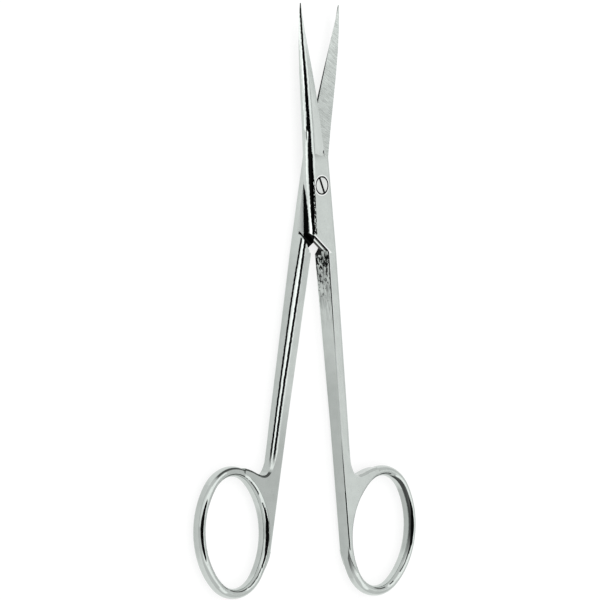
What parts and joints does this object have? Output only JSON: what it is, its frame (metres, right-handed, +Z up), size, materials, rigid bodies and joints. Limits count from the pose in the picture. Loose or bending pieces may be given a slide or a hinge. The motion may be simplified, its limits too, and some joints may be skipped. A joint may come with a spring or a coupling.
{
  "type": "dental scissors",
  "caption": "Straight sharp-pointed dental scissors with slender ground blades, a slotted pivot screw, tapered shanks and oval finger rings.",
  "frame": {"origin": "on the pivot axis, at the flat underside of the joint", "axes": "+Y along the centre line towards the points, +Z up along the pivot axis to the screw head, +X to the side of the upper half's ring"},
  "size_m": [0.06, 0.1123, 0.0037],
  "materials": {
    "satin_steel": "satin ground flats with polished edges and rings",
    "polished_steel": "polished"
  },
  "bodies": {
    "lower": {"lower_half": "satin_steel", "pivot_screw": "polished_steel"},
    "upper": {"upper_half": "satin_steel"}
  },
  "joints": [
    {"name": "pivot", "type": "hinge", "parent": "lower", "child": "upper", "pos_m": [0, 0, 0.00187], "axis": [0, 0, 1], "range_deg": [-17.8, 130]}
  ]
}
